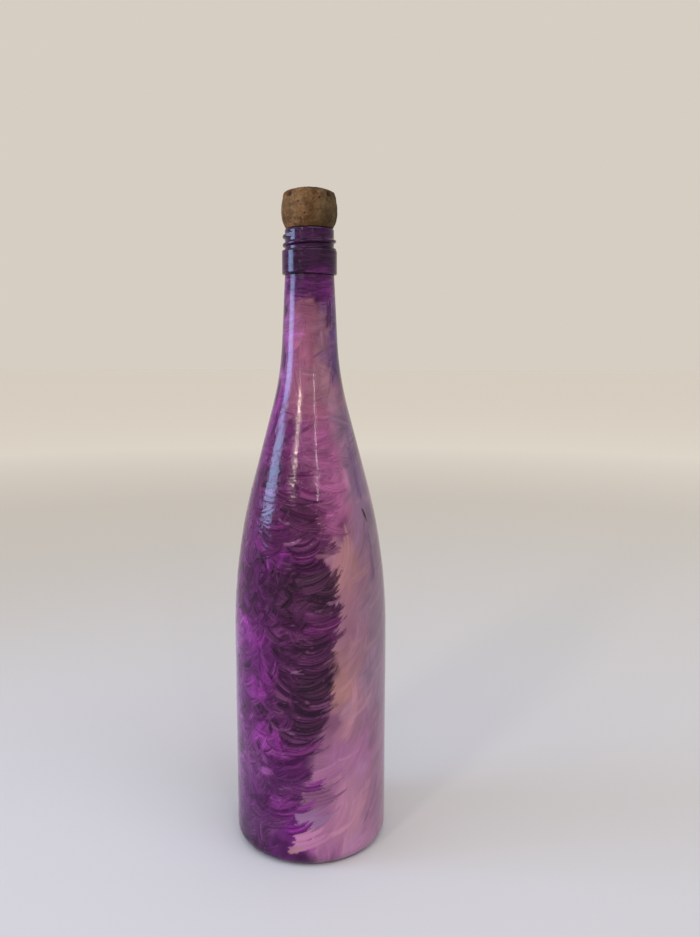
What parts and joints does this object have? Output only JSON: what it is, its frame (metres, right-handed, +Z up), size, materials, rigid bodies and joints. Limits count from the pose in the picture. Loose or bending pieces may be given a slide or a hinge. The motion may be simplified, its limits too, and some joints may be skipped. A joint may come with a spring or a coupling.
{
  "type": "corked bottle",
  "caption": "Tall painted glass wine bottle with a screw finish, closed by a mushroom-headed agglomerate cork that pulls out.",
  "frame": {"origin": "centre of the base, on the surface that the bottle stands on", "axes": "+Z up along the bottle's axis, -Y towards the side that the picture shows"},
  "size_m": [0.0842, 0.0842, 0.3614],
  "materials": {
    "painted_glass": "clear glass brushed all over outside with opaque purple and dusty pink paint, under a gloss varnish",
    "agglomerate_cork": "bonded cork granules, matt, with small voids",
    "natural_cork": "natural cork, matt, with fine pores"
  },
  "bodies": {
    "bottle": {"bottle": "painted_glass"},
    "cork": {"cork_body": "agglomerate_cork", "cork_disc_upper": "natural_cork", "cork_disc_lower": "natural_cork"}
  },
  "joints": [
    {"name": "cork_pull", "type": "slide", "parent": "bottle", "child": "cork", "axis": [0, 0, 1], "range_m": [0, 0.046]}
  ]
}
